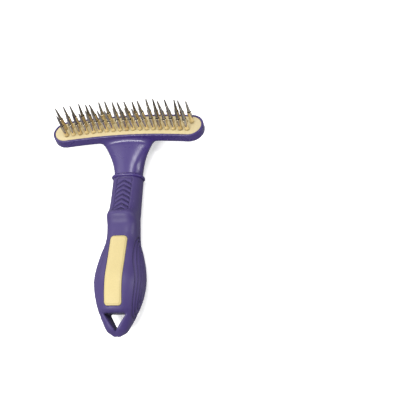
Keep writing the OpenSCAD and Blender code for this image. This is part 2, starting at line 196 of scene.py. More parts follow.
@dataclass(frozen=True)
class Layout:
    """Shared sizes of the tool and how it lies, in millimetres and degrees."""

    grip_length: float = 113.4
    stem_length: float = 25.7
    stem_half: float = 10.15
    stem_front: float = 8.2
    head_tilt: float = 18.8
    head_rise: float = 11.1
    head_half: float = 56.15
    half_depth: float = 10.2
    head_sweep: float = 4.4
    row_gap: float = 7.3
    pin_pitch: float = 5.0
    wall_drop: float = 4.2
    joint_height: float = 5.0
    pegs_each_side: int = 2
    peg_past_ends: float = 4.0

    @property
    def tilt(self) -> float:
        """Tilt of the head against the handle, in radians."""
        return math.radians(self.head_tilt)

    @property
    def head_y(self) -> float:
        """Distance from the collar to the middle of the pin face."""
        slant = self.half_depth * math.cos(self.tilt)
        return self.stem_length + slant + self.wall_drop * math.sin(self.tilt)

    @property
    def sweep_radius(self) -> float:
        """Radius on which the head sweeps back."""
        return self.head_half**2 / (2 * self.head_sweep)

    def on_head(self, x: Array, across: Array, up: Array) -> tuple[Array, ...]:
        """Head places turned into handle places.

        Args:
            x: Along the head.
            across: From the pin face's centre line, away from the grip.
            up: Out of the pin face.

        Returns:
            The x, y and z of the same places in the handle's frame.
        """
        y = self.head_y + across * math.cos(self.tilt) + up * math.sin(self.tilt)
        z = self.head_rise - across * math.sin(self.tilt) + up * math.cos(self.tilt)
        return x, y, z

    def to_head(self, y: Array, z: Array) -> tuple[Array, Array]:
        """Handle places turned into head places: across the pin face and out of it."""
        dy, dz = y - self.head_y, z - self.head_rise
        return (
            dy * math.cos(self.tilt) - dz * math.sin(self.tilt),
            dy * math.sin(self.tilt) + dz * math.cos(self.tilt),
        )

    def lay_down(self) -> Matrix:
        """Matrix from the handle's frame in millimetres to the row frame in metres.

        Returns:
            The matrix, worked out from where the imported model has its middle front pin.
        """
        joint = JOINTS["spin_front_10"]
        axis = joint["axis"]
        tip = math.atan2(axis[1], axis[2]) - self.tilt
        _, y, z = self.on_head(0.0, -self.row_gap / 2, self.joint_height)
        turn = Matrix.Rotation(-tip, 4, "X")
        shift = Vector(joint["pos_m"]) - turn @ Vector((0, y, z)) * MM
        return Matrix.Translation(shift) @ turn @ Matrix.Scale(MM, 4)

    def outline(self, x: Array, across: Array) -> Array:
        """Distance to the head's swept outline, seen square to the pin face.

        Args:
            x: Along the head.
            across: Across the head.

        Returns:
            The distance, below zero inside.
        """
        radius = self.sweep_radius
        half_turn = math.asin((self.head_half - self.half_depth) / radius)
        along = np.arctan2(np.abs(x), across + radius)
        beside = np.abs(np.hypot(x, across + radius) - radius)
        end_x, end_y = radius * math.sin(half_turn), radius * (math.cos(half_turn) - 1)
        past = np.hypot(np.abs(x) - end_x, across - end_y)
        return np.where(along < half_turn, beside, past) - self.half_depth

    def sag(self, x: Array) -> Array:
        """How far the swept centre line lies back at x."""
        return -x * x / (2 * self.sweep_radius)

    def seat_distance(self, x: Array, across: Array) -> Array:
        """Distance in the pin face to the axis of the nearest pin.

        Args:
            x: Along the head.
            across: Across the head.

        Returns:
            The distance.
        """
        # Each row: its half step, its last seat in steps from the middle, its place across
        rows = ((0.0, 9.0, -self.row_gap / 2), (0.5, 9.5, self.row_gap / 2))
        gaps = []
        for half_step, last, offset in rows:
            turn = np.round(x / self.pin_pitch - half_step) + half_step
            seat = np.clip(turn, -last, last) * self.pin_pitch
            gaps.append(np.hypot(x - seat, across - self.sag(seat) - offset))
        return np.minimum(*gaps)

    def peg_distance(self, x: Array, across: Array) -> Array:
        """Distance in the pin face to the axis of the nearest of the plate's pegs."""
        step = (self.head_half - self.half_depth + self.peg_past_ends) / 2
        seat = np.clip(np.round(x / step), -self.pegs_each_side, self.pegs_each_side) * step
        return np.hypot(x - seat, across - self.sag(seat))


JOINTS = {joint["name"]: joint for joint in frame["joints"]}


# --- Turning a distance field into a skin ---


@dataclass(frozen=True)
class Mesher:
    """Meshes the zero surface of a distance field on an even grid, then draws it onto the surface."""

    low: Triple
    high: Triple
    step: float
    rounds: int = 3
    slab: int = 12
    nudge: float = 0.02
    flattest: float = 0.05
    longest_move: float = 0.5
    longest_way: float = 0.8

    def skin(self, shape: Field) -> tuple[Array, Array]:
        """Points and quads of the surface.

        Args:
            shape: Distance field in millimetres, below zero inside.

        Returns:
            The points and the quads' point numbers.
        """
        axes = [np.arange(a, b + self.step, self.step) for a, b in zip(self.low, self.high)]
        size = tuple(len(a) for a in axes)
        values = np.empty(size, np.float32)
        across, up = axes[0][:, None, None], axes[2][None, None, :]
        for j in range(0, size[1], self.slab):
            rows = axes[1][j : j + self.slab]
            values[:, j : j + self.slab, :] = shape(across, rows[None, :, None], up)
        points, quads = self._nets(values, size)
        return self._settle(shape, points), quads

    def _nets(self, values: Array, size: tuple[int, ...]) -> tuple[Array, Array]:
        """One point in each cell that the surface crosses, joined round each crossed edge.

        Args:
            values: The field at each grid point.
            size: Grid points along each axis.

        Returns:
            The points in millimetres and the quads' point numbers.
        """
        inside = values < 0
        cells, spots, rings, flips = [], [], [], []
        for axis in range(3):
            first = [slice(None)] * 3
            second = [slice(None)] * 3
            first[axis], second[axis] = slice(None, -1), slice(1, None)
            at = np.argwhere(inside[tuple(first)] != inside[tuple(second)])
            ahead = at.copy()
            ahead[:, axis] += 1
            a, b = values[tuple(at.T)], values[tuple(ahead.T)]
            spot = at.astype(float)
            spot[:, axis] += a / (a - b)
            turn, lift = (axis + 1) % 3, (axis + 2) % 3
            ring = []
            for back_turn, back_lift in ((1, 1), (0, 1), (0, 0), (1, 0)):
                cell = at.copy()
                cell[:, turn] -= back_turn
                cell[:, lift] -= back_lift
                ring.append(np.ravel_multi_index(tuple(cell.T), size))
                cells.append(ring[-1])
                spots.append(spot)
            rings.append(np.stack(ring, 1))
            flips.append(a > 0)
        used, owner = np.unique(np.concatenate(cells), return_inverse=True)
        spots = np.concatenate(spots)
        count = np.bincount(owner, minlength=len(used))
        middle = np.stack([np.bincount(owner, spots[:, k], len(used)) / count for k in range(3)], 1)
        quads = np.searchsorted(used, np.concatenate(rings))
        flip = np.concatenate(flips)
        quads[flip] = quads[flip][:, ::-1]
        return middle * self.step + np.array(self.low), quads

    def _settle(self, shape: Field, points: Array) -> Array:
        """Moves each point down the field's slope onto the surface, by less than a cell.

        Args:
            shape: The distance field.
            points: The points to move.

        Returns:
            The moved points.
        """
        start = points.copy()
        nudge, least = self.nudge, 1e-9
        reach = self.longest_way * self.step
        for _ in range(self.rounds):
            here = shape(*points.T)
            slope = np.stack([(shape(*(points + nudge * e).T) - here) / nudge for e in np.eye(3)], 1)
            steep = np.maximum((slope**2).sum(1), self.flattest)
            move = -slope * (here / steep)[:, None]
            length = np.linalg.norm(move, axis=1)
            move *= np.minimum(1, self.longest_move * self.step / np.maximum(length, least))[:, None]
            points = np.clip(points + move, start - reach, start + reach)
        return points


def add_object(name: str, data: bpy.types.ID) -> bpy.types.Object:
    """A new object in the scene."""
    thing = bpy.data.objects.new(name, data)
    bpy.context.scene.collection.objects.link(thing)
    return thing


def new_piece(name: str, points: Array, faces: Array, place: Matrix) -> bpy.types.Object:
    """A smooth-shaded mesh object whose own place is the origin.

    Args:
        name: Name of the piece.
        points: Points in millimetres.
        faces: Point numbers, four to a face.
        place: Matrix that lays the points down in the row frame.

    Returns:
        The new object.
    """
    turn = np.array(place)
    laid = points @ turn[:3, :3].T + turn[:3, 3]
    mesh = bpy.data.meshes.new(name)
    mesh.vertices.add(len(laid))
    mesh.vertices.foreach_set("co", laid.astype(np.float32).ravel())
    mesh.loops.add(faces.size)
    mesh.loops.foreach_set("vertex_index", faces.astype(np.int32).ravel())
    mesh.polygons.add(len(faces))
    mesh.polygons.foreach_set("loop_start", np.arange(0, faces.size, faces.shape[1], dtype=np.int32))
    mesh.update(calc_edges=True)
    mesh.validate()
    mesh.shade_smooth()
    return add_object(name, mesh)


# --- Finishes ---


@dataclass
class Graph:
    """Adds nodes to one node tree in a few words."""

    tree: bpy.types.NodeTree

    def add(self, kind: str, settings: dict | None = None, **inputs: object) -> bpy.types.Node:
        """A node with its settings and inputs filled in.

        Args:
            kind: Blender's name of the node.
            settings: Node properties to set.
            **inputs: Values or sockets for its inputs; an underscore stands for a space.

        Returns:
            The new node.
        """
        node = self.tree.nodes.new(kind)
        for key, value in (settings or {}).items():
            setattr(node, key, value)
        return self.fill(node, **inputs)

    def fill(self, node: bpy.types.Node, **inputs: object) -> bpy.types.Node:
        """The node with those inputs filled in; an underscore stands for a space."""
        for key, value in inputs.items():
            self.feed(node.inputs[key.replace("_", " ")], value)
        return node

    def feed(self, socket: Socket, value: object) -> None:
        """Links a socket to the input, or sets the input's own value."""
        if isinstance(value, Socket):
            self.tree.links.new(value, socket)
        else:
            socket.default_value = value

    def math(self, operation: str, *values: object) -> Socket:
        """The result of a Math node on the given values."""
        node = self.add("ShaderNodeMath", {"operation": operation})
        for socket, value in zip(node.inputs, values):
            self.feed(socket, value)
        return node.outputs[0]

    def times(self, a: object, b: object) -> Socket:
        """The product of two values."""
        return self.math("MULTIPLY", a, b)

    def plus(self, a: object, b: object) -> Socket:
        """The sum of two values."""
        return self.math("ADD", a, b)

    def minus(self, a: object, b: object) -> Socket:
        """The first value less the second."""
        return self.math("SUBTRACT", a, b)

    def noise(self, scale: object, detail: float, rough: float, vector: object) -> Socket:
        """The even factor of a Noise texture."""
        node = self.add("ShaderNodeTexNoise", Scale=scale, Detail=detail, Roughness=rough, Vector=vector)
        return node.outputs["Fac"]

    def between(self, value: object, low: float, high: float, to_low: object, to_high: object) -> Socket:
        """A value carried smoothly from one range to another."""
        node = self.add("ShaderNodeMapRange", {"interpolation_type": "SMOOTHSTEP"})
        names = ("Value", "From Min", "From Max", "To Min", "To Max")
        for name, entry in zip(names, (value, low, high, to_low, to_high)):
            self.feed(node.inputs[name], entry)
        return node.outputs[0]

    def rise(self, value: object, low: float, high: float) -> Socket:
        """A value that goes smoothly from 0 at low to 1 at high."""
        return self.between(value, low, high, 0.0, 1.0)

    def fall(self, value: object, low: float, high: float) -> Socket:
        """A value that goes smoothly from 1 at low to 0 at high."""
        return self.between(value, low, high, 1.0, 0.0)

    def mix(self, factor: object, a: object, b: object) -> Socket:
        """A colour between a and b."""
        node = self.add("ShaderNodeMix", {"data_type": "RGBA"})
        factor_in, first_in, second_in, colour_out = 0, 6, 7, 2
        self.feed(node.inputs[factor_in], factor)
        self.feed(node.inputs[first_in], a)
        self.feed(node.inputs[second_in], b)
        return node.outputs[colour_out]


class Effect(Enum):
    """Surface effects that several finishes share, each built once as a node group."""

    GRAIN = "mould_grain"
    WEAR_AND_SHADE = "edge_wear_and_hollow_shade"
    DRIFT = "colour_drift"
    HANDLING = "handling_marks"


class Effects:
    """Builds each shared effect once and hands out its node group."""

    def __init__(self) -> None:
        """Builds all of the groups."""
        self.groups = {
            Effect.GRAIN: self._grain(),
            Effect.WEAR_AND_SHADE: self._wear_and_shade(),
            Effect.DRIFT: self._drift(),
            Effect.HANDLING: self._handling(),
        }

    def place(self, graph: Graph, effect: Effect, **inputs: object) -> bpy.types.Node:
        """A group node for one effect in a material, with its inputs filled in."""
        node = graph.tree.nodes.new("ShaderNodeGroup")
        node.node_tree = self.groups[effect]
        for key, value in inputs.items():
            graph.feed(node.inputs[key.replace("_", " ")], value)
        return node

    @staticmethod
    def _open(effect: Effect, inputs: dict[str, float], outputs: tuple[str, ...]) -> tuple:
        """An empty group with its sockets.

        Args:
            effect: The effect that the group makes.
            inputs: Name and default value of each number it takes.
            outputs: Names of the values it puts out.

        Returns:
            The tree, its graph, and its input and output nodes.
        """
        tree = bpy.data.node_groups.new(effect.value, "ShaderNodeTree")
        tree.interface.new_socket("Vector", in_out="INPUT", socket_type="NodeSocketVector")
        for name, value in inputs.items():
            socket = tree.interface.new_socket(name, in_out="INPUT", socket_type="NodeSocketFloat")
            socket.default_value = value
        for name in outputs:
            tree.interface.new_socket(name, in_out="OUTPUT", socket_type="NodeSocketFloat")
        graph = Graph(tree)
        return tree, graph, tree.nodes.new("NodeGroupInput"), tree.nodes.new("NodeGroupOutput")

    def _grain(self) -> bpy.types.NodeTree:
        """Fine spark-eroded grain of a mould: small rounded pits over a soft unevenness."""
        sizes, names = {"Scale": 2600.0, "Unevenness": 0.4}, ("Height", "Pits")
        tree, graph, given, put = self._open(Effect.GRAIN, sizes, names)
        where, scale = given.outputs["Vector"], given.outputs["Scale"]
        cells = graph.add("ShaderNodeTexVoronoi", {"feature": "SMOOTH_F1"}, Scale=scale, Vector=where)
        pits = graph.fall(cells.outputs["Distance"], 0.1, 0.7)
        broad = graph.noise(graph.times(scale, 0.12), 3.0, 0.55, where)
        swell = graph.times(broad, given.outputs["Unevenness"])
        graph.fill(put, Height=graph.plus(graph.times(pits, 0.6), swell), Pits=pits)
        return tree

    def _wear_and_shade(self) -> bpy.types.NodeTree:
        """Masks: one high on rubbed outer edges, broken up by noise, for wear; one high in hollows, for
        painted shade.
        """
        sizes, names = {"Edge": 0.56, "Spread": 0.05}, ("Mask", "Hollow")
        tree, graph, given, put = self._open(Effect.WEAR_AND_SHADE, sizes, names)
        shape = graph.add("ShaderNodeNewGeometry").outputs["Pointiness"]
        broken = graph.noise(420.0, 4.0, 0.6, given.outputs["Vector"])
        lifted = graph.plus(shape, graph.times(graph.minus(broken, 0.5), 0.03))
        over = graph.minus(lifted, given.outputs["Edge"])
        worn = graph.math("DIVIDE", over, given.outputs["Spread"])
        # Painted shade: this mask is high where the surface curves inward, and the finishes darken there
        # as shade.
        hollow_shade = graph.fall(shape, 0.42, 0.494)
        graph.fill(put, Mask=graph.rise(worn, 0.0, 1.0), Hollow=hollow_shade)
        return tree

    def _drift(self) -> bpy.types.NodeTree:
        """Slow change of colour through moulded plastic, with flow streaks along the tool."""
        tree, graph, given, put = self._open(Effect.DRIFT, {"Scale": 55.0}, ("Factor",))
        where, scale = given.outputs["Vector"], given.outputs["Scale"]
        stretch = graph.add("ShaderNodeMapping", Vector=where, Scale=(2.2, 0.5, 1.6))
        flow = graph.noise(scale, 4.0, 0.55, stretch.outputs[0])
        clouds = graph.noise(graph.times(scale, 0.4), 2.0, 0.5, where)
        both = graph.plus(graph.times(flow, 0.5), graph.times(clouds, 0.5))
        graph.fill(put, Factor=graph.rise(both, 0.3, 0.7))
        return tree

    def _handling(self) -> bpy.types.NodeTree:
        """Faint hairline scratches and smudges that change the gloss."""
        names = ("Scratches", "Smudges")
        tree, graph, given, put = self._open(Effect.HANDLING, {"Scale": 90.0}, names)
        where, scale = given.outputs["Vector"], given.outputs["Scale"]
        turn, stretch = (0.2, 0.1, 0.5), (9.0, 0.7, 4.0)
        hair = graph.add("ShaderNodeMapping", Vector=where, Scale=stretch, Rotation=turn)
        lines = graph.noise(graph.times(scale, 2.4), 5.0, 0.7, hair.outputs[0])
        smear = graph.rise(graph.noise(scale, 4.0, 0.6, where), 0.42, 0.66)
        graph.fill(put, Scratches=graph.rise(lines, 0.62, 0.72), Smudges=smear)
        return tree


def open_material(name: str) -> tuple[bpy.types.Material, Graph, bpy.types.Node]:
    """A new node material with an empty Principled shader on its output."""
    material = bpy.data.materials.new(name)
    material.use_nodes = True
    material.node_tree.nodes.clear()
    graph = Graph(material.node_tree)
    shader = graph.add("ShaderNodeBsdfPrincipled")
    graph.add("ShaderNodeOutputMaterial", Surface=shader.outputs[0])
    return material, graph, shader


@dataclass(frozen=True)
class Moulded:
    """Moulded plastic or rubber with mould grain, colour drift, rubbed edges and handling marks, and with
    painted shade in hollows and in the grain's pits.
    """

    name: str
    colour: Triple
    shade: Triple
    worn: Triple
    roughness: float
    grain_scale: float
    grain_depth: float
    wear: float = 0.3
    specular: float = 0.5
    coat: float = 0.0
    coat_roughness: float = 0.1
    sheen: float = 0.0
    gloss_spread: float = 0.10
    # Painted shade in hollows: how much of it, and how dark as a share of the darker drift colour.
    hollow_shade_share: float = 0.8
    hollow_shade_tone: float = 0.5
    # Painted shade in the grain's pits.
    pit_shade_share: float = 0.06
    scratch_gloss: float = 0.6
    scratch_depth: float = 0.25

    def build(self, effects: Effects) -> bpy.types.Material:
        """Makes the material.

        Args:
            effects: The shared node groups.

        Returns:
            The finished material.
        """
        material, graph, shader = open_material(self.name)
        where = graph.add("ShaderNodeTexCoord").outputs["Object"]
        drift = effects.place(graph, Effect.DRIFT, Vector=where).outputs["Factor"]
        # This group gives both the rubbed-edge wear mask and the hollow mask used for painted shade.
        wear = effects.place(graph, Effect.WEAR_AND_SHADE, Vector=where)
        grain = effects.place(graph, Effect.GRAIN, Vector=where, Scale=self.grain_scale)
        marks = effects.place(graph, Effect.HANDLING, Vector=where)
        scratches, smudges = marks.outputs["Scratches"], marks.outputs["Smudges"]
        body = graph.mix(drift, (*self.shade, 1), (*self.colour, 1))
        # Painted shade: hollows darken towards a deeper tone, standing in for the shade that falls in
        # them.
        hollow_shade = graph.times(wear.outputs["Hollow"], self.hollow_shade_share)
        body = graph.mix(hollow_shade, body, (*[c * self.hollow_shade_tone for c in self.shade], 1))
        rubbed = graph.times(wear.outputs["Mask"], self.wear)
        body = graph.mix(rubbed, body, (*self.worn, 1))
        # Painted shade: the grain's pits darken a little towards black.
        pits = graph.times(grain.outputs["Pits"], self.pit_shade_share)
        body = graph.mix(pits, body, (0, 0, 0, 1))
        rough = graph.plus(self.roughness, graph.times(smudges, self.gloss_spread))
        rough = graph.plus(rough, graph.times(scratches, self.gloss_spread * self.scratch_gloss))
        rough = graph.minus(rough, graph.times(rubbed, self.gloss_spread))
        cuts = graph.times(scratches, self.scratch_depth)
        height = graph.minus(grain.outputs["Height"], cuts)
        bump = graph.add("ShaderNodeBump", Height=height, Strength=1.0, Distance=self.grain_depth)
        graph.fill(shader, Base_Color=body, Roughness=rough, Normal=bump.outputs[0])
        graph.fill(shader, Specular_IOR_Level=self.specular, Sheen_Weight=self.sheen)
        graph.fill(shader, Coat_Weight=self.coat, Coat_Roughness=self.coat_roughness)
        return material


@dataclass(frozen=True)
class TurnedSteel:
    """Turned and polished steel (metres): fine tool rings, a greyer point, a barrel tinted gold as a
    painted reflection of the yellow plate, and painted shade as a dark band over the groove and in
    hollows.
    """

    name: str
    # Barrel colour: steel tinted gold, a painted reflection of the yellow plate.
    barrel_with_painted_reflection: Triple
    dull: Triple
    roughness: float
    ring_scale: float = 5200.0
    ring_depth: float = 0.000012
    groove_from: float = 0.0103
    groove_to: float = 0.0110
    groove_fade: Pair = (0.7, 1.2)
    point_run: float = 0.001
    point_share: float = 0.85
    # Painted shade: how dark the groove band and the hollows go, and how much the hollows take.
    groove_shade_tone: float = 0.08
    hollow_shade_share: float = 0.7
    stain_share: float = 0.5
    gloss_spread: float = 0.12

    def build(self, effects: Effects) -> bpy.types.Material:
        """Makes the material.

        Args:
            effects: The shared node groups.

        Returns:
            The finished material.
        """
        material, graph, shader = open_material(self.name)
        where = graph.add("ShaderNodeTexCoord").outputs["Object"]
        squash = graph.add("ShaderNodeMapping", Vector=where, Scale=(0.02, 0.02, 1.0))
        rings = graph.noise(self.ring_scale, 3.0, 0.6, squash.outputs[0])
        marks = effects.place(graph, Effect.HANDLING, Vector=where, Scale=400.0)
        # Only the hollow mask of this group is used here, for painted shade.
        wear = effects.place(graph, Effect.WEAR_AND_SHADE, Vector=where, Edge=0.54)
        stain = graph.times(marks.outputs["Smudges"], self.stain_share)
        height = graph.add("ShaderNodeSeparateXYZ", Vector=where).outputs["Z"]
        point = graph.rise(height, self.groove_to, self.groove_to + self.point_run)
        tone = graph.math("MAXIMUM", stain, graph.times(point, self.point_share))
        body = graph.mix(tone, (*self.barrel_with_painted_reflection, 1), (*self.dull, 1))
        # Painted shade: a near-black band over the groove and in the hollows stands in for the shade that
        # falls there.
        middle, half = span(self.groove_from, self.groove_to)
        off = graph.math("ABSOLUTE", graph.minus(height, middle))
        groove = graph.fall(off, *(share * half for share in self.groove_fade))
        hollow_shade = graph.times(wear.outputs["Hollow"], self.hollow_shade_share)
        painted_shade = graph.math("MAXIMUM", groove, hollow_shade)
        body = graph.mix(painted_shade, body, (*[c * self.groove_shade_tone for c in self.dull], 1))
        rough = graph.plus(self.roughness, graph.times(rings, self.gloss_spread))
        rough = graph.plus(rough, graph.times(stain, self.gloss_spread))
        bump = graph.add("ShaderNodeBump", Height=rings, Strength=1.0, Distance=self.ring_depth)
        look = {"Base_Color": body, "Roughness": rough, "Normal": bump.outputs[0]}
        graph.fill(shader, Metallic=1.0, **look)
        return material


# --- Sub-assemblies ---


@dataclass
class Grip:
    """The soft sleeve and its inlay: sizes in millimetres, s measured from the collar."""

    layout: Layout
    belly_half: float = 17.7
    neck_half: float = 10.6
    belly_front: float = 16.2
    belly_back: float = -14.6
    start: float = 1.2
    bump_at: float = 30.8
    bump_height: float = 3.4
    bump_before: float = 3.5
    bump_after: float = 4.4
    bump_fullness: float = 1.25
    full_past_bump: float = 4.0
    full_spread: float = 8.0
    plain_full: float = 2.3
    back_full: float = 3.0
    panel_half: float = 5.85
    panel_from: float = 2.2
    panel_to: float = 28.6
    panel_sink: float = 0.8
    panel_corner: float = 1.2
    panel_edge: float = 0.3
    panel_face: Pair = (2.0, 5.0)
    chevrons: int = 7
    chevron_first: float = 4.6
    chevron_pitch: float = 3.64
    chevron_angle: float = 29.0
    chevron_groove: float = 0.9
    chevron_depth: float = 0.95
    chevron_crown: float = 0.35
    chevron_fade: Pair = (0.5, 1.0)
    inlay_half: float = 6.1
    inlay_from: float = 46.5
    inlay_to: float = 96.4
    inlay_corner: float = 2.5
    inlay_depth: float = 2.4
    inlay_proud: float = 0.12
    inlay_gap: float = 0.12
    inlay_round: float = 0.5
    inlay_raised: float = 0.3
    inlay_bevel: Pair = (0.8, 1.15)
    inlay_step: float = 0.25
    pocket_room: float = 0.1
    pocket_round: float = 0.45
    rib_s: float = 73.5
    rib_z: float = -0.5
    ribs: tuple[Pair, ...] = ((28.5, 11.0), (26.0, 8.9), (22.5, 6.0), (18.0, 3.0))
    rib_width: float = 0.6
    rib_depth: float = 1.2
    rib_side: Pair = (5.5, 8.5)
    hole_edge: float = 100.7
    hole_half: float = 8.1
    hole_length: float = 11.8
    hole_lean: float = 10.0
    hole_round: float = 1.8
    hole_lip: float = 2.2
    end_reach: float = 1.3
    end_round: float = 4.5
    mouth_round: float = 0.7
    tang_half: Pair = (5.55, 3.55)
    tang_corner: float = 0.4
    tang_to: float = 91.45
    step: float = 0.435

    def __post_init__(self) -> None:
        """Draws the plan, front and back lines against the share of the grip's length."""
        neck, belly = self.neck_half, self.belly_half
        more = belly - neck
        front, back, rise = self.belly_front, self.belly_back, self.layout.stem_front
        self.plan = Profile((
            (0, neck), (0.27, neck + 0.04 * more), (0.41, neck + 0.14 * more), (0.5, neck + 0.54 * more),
            (0.59, neck + 0.88 * more), (0.68, belly), (0.775, 0.92 * belly), (0.865, 0.755 * belly),
            (0.957, 0.49 * belly), (0.985, 0.38 * belly), (1, 0.27 * belly),
        ))
        self.front_line = Profile((
            (0, rise + 0.7), (0.12, rise + 2.5), (0.24, rise + 4), (0.34, rise + 3.1), (0.41, rise + 3.2),
            (0.56, 0.85 * front), (0.7, front), (0.86, 0.75 * front), (0.9, 0.52 * front),
            (0.97, 0.25 * front), (1, 0.02 * front),
        ))
        self.back_line = Profile((
            (0, -rise), (0.22, -rise - 0.3), (0.4, 0.74 * back), (0.55, 0.93 * back), (0.69, back),
            (0.81, 0.92 * back), (0.9, 0.66 * back), (0.96, 0.5 * back), (1, 0.36 * back),
        ))

    def _front(self, s: Array) -> Array:
        """Front line of the grip, with the thumb bump on it."""
        off = s - self.bump_at
        spread = np.where(off < 0, self.bump_before, self.bump_after)
        bump = self.bump_height * np.exp(-((off / spread) ** 2))
        return self.front_line.at(s / self.layout.grip_length) + bump

    def _body(self, x: Array, s: Array, z: Array) -> Array:
        """Distance to the grip before anything is cut or sunk into it."""
        share = np.clip(s / self.layout.grip_length, 0, 1)
        away = (s - self.bump_at - self.full_past_bump) / self.full_spread
        full = self.plain_full + self.bump_fullness * np.exp(-(away**2))
        back = self.back_line.at(share)
        return Section(self.plan.at(share), self._front(s), back, full, self.back_full).distance(x, z)

    def _panel(self, x: Array, s: Array) -> Array:
        """Depth of the sunk thumb panel and of the chevron grooves between its ridges."""
        middle, half = span(self.panel_from, self.panel_to)
        edge = rounded_box(x, s - middle, self.panel_half, half, self.panel_corner)
        sunk = self.panel_sink * smooth_step(-edge, -self.panel_edge, self.panel_edge)
        along = s - self.chevron_first - np.abs(x) * math.tan(math.radians(self.chevron_angle))
        turn = np.clip(np.round(along / self.chevron_pitch), 0, self.chevrons - 1)
        off = np.abs(along - turn * self.chevron_pitch)
        groove = 1 - smooth_step(off, 0.25 * self.chevron_groove, self.chevron_groove)
        crown = self.chevron_crown * smooth_step(off, 0.0, 0.5 * self.chevron_pitch)
        inner = smooth_step(-edge, *self.chevron_fade)
        return sunk + inner * (self.chevron_depth * groove - crown)

    def _ribs(self, x: Array, s: Array, z: Array) -> Array:
        """Depth of the nested oval grooves on the grip's two sides."""
        depth = np.zeros(())
        for half_s, half_z in self.ribs:
            u, v = (s - self.rib_s) / half_s, (z - self.rib_z) / half_z
            reach = np.maximum(np.hypot(u, v), TINY)
            slope = np.maximum(np.hypot(u / half_s, v / half_z) / reach, TINY)
            off = np.abs(reach - 1) / slope
            depth = depth + self.rib_depth * np.exp(-((off / self.rib_width) ** 2))
        return depth * smooth_step(np.abs(x), *self.rib_side)

    def _hole(self, x: Array, s: Array, z: Array) -> Array:
        """Distance to the leaning three-cornered hang hole."""
        lean = math.radians(self.hole_lean)
        top = self._front(np.array(self.hole_edge))
        along = (s - self.hole_edge) * math.cos(lean) - (z - top) * math.sin(lean)
        side = math.atan2(self.hole_length, self.hole_half)
        flank = (np.abs(x) - self.hole_half) * math.sin(side) + along * math.cos(side)
        return smooth_max(-along, flank, self.hole_round)

    def sleeve(self, x: Array, y: Array, z: Array) -> Array:
        """Distance field of the finished sleeve."""
        s = -y
        body = self._body(x, s, z)
        facing = smooth_step(z, *self.panel_face)
        shape = body + self._panel(x, s) * facing + self._ribs(x, s, z)
        shape = smooth_max(shape, s - self.layout.grip_length - self.end_reach, self.end_round)
        shape = smooth_max(shape, self.start - s, self.mouth_round)
        floor = self._front(s) - self.inlay_depth - self.pocket_room
        pocket = np.maximum(self._inlay_edge(x, s) - self.inlay_gap, floor - z)
        shape = smooth_max(shape, -pocket, self.pocket_round)
        tang = np.maximum(rounded_box(x, z, *self.tang_half, self.tang_corner), s - self.tang_to)
        shape = np.maximum(shape, -tang)
        return smooth_max(shape, -self._hole(x, s, z), self.hole_lip)

    def _inlay_edge(self, x: Array, s: Array) -> Array:
        """Distance to the inlay's outline, seen from the front."""
        middle, half = span(self.inlay_from, self.inlay_to)
        return rounded_box(x, s - middle, self.inlay_half, half, self.inlay_corner)

    def inlay(self, x: Array, y: Array, z: Array) -> Array:
        """Distance field of the inlay: it follows the grip, raised inside a bevel."""
        s = -y
        edge = self._inlay_edge(x, s)
        raised = self.inlay_raised * smooth_step(-edge, *self.inlay_bevel)
        top = self._body(x, s, z) - self.inlay_proud - raised
        under = self._front(s) - self.inlay_depth - z
        return np.maximum(round_corner(edge, top, self.inlay_round), under)

    def build(self, place: Matrix, finishes: Finishes) -> Pieces:
        """Meshes and dresses the sleeve and the inlay.

        Args:
            place: Matrix that lays the handle down.
            finishes: Materials by slot.

        Returns:
            The two pieces.
        """
        end = -self.layout.grip_length - self.end_reach - 1
        grid = Mesher((-19.0, end, -16.0), (19.0, 0.5, 18.0), self.step)
        sleeve = new_piece("soft_grip_sleeve", *grid.skin(self.sleeve), place)
        low, high = (-7.0, -self.inlay_to - 1, 4.0), (7.0, 1 - self.inlay_from, 18.0)
        grid = Mesher(low, high, self.inlay_step)
        inlay = new_piece("grip_front_inlay", *grid.skin(self.inlay), place)
        dress(sleeve, finishes["soft_purple"], RAKE, "grip_sleeve")
        dress(inlay, finishes["yellow_inlay"], RAKE, "grip_inlay")
        return [sleeve, inlay]


